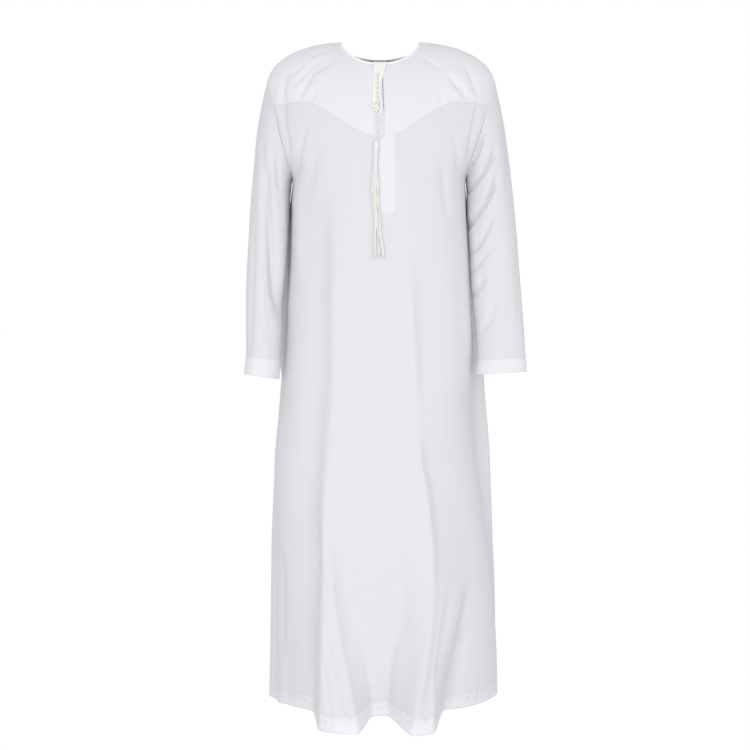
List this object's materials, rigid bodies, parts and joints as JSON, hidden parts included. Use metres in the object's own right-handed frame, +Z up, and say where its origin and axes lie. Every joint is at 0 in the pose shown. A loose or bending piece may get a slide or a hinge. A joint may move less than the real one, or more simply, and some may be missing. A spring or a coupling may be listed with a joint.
{
  "type": "long white robe with a round neck and a neck tassel",
  "caption": "Long straight white robe, hollow as worn, with a V yoke, narrow neck opening, ivory tab and tassel, cuffed sleeves and a folded, flaring hem.",
  "frame": {"origin": "middle of the neck, level with the top of the shoulder seams, where the wearer's neck and shoulders hold the robe", "axes": "+Z up along the robe, -Y out of its front, +X towards the wearer's left"},
  "size_m": [0.5905, 0.4852, 1.415],
  "materials": {
    "single_cloth": "one layer of fine plain-woven white cotton and polyester, matt, letting a little light through",
    "double_cloth": "two layers of the same cloth sewn together, whiter",
    "ivory_thread": "ivory viscose thread with a soft sheen"
  },
  "bodies": {
    "root": {"yoke_right": "double_cloth", "yoke_left": "double_cloth", "front_panel": "single_cloth", "back_panel": "single_cloth", "hem_front": "double_cloth", "hem_back": "double_cloth", "sleeve_right": "single_cloth", "sleeve_left": "single_cloth", "cuff_right": "double_cloth", "cuff_left": "double_cloth", "neck_binding": "double_cloth", "opening_facing": "double_cloth", "placket_tab": "ivory_thread", "tassel_cord": "ivory_thread", "tassel_knot": "ivory_thread", "tassel_braid": "ivory_thread", "tassel_threads": "ivory_thread"}
  },
  "joints": []
}
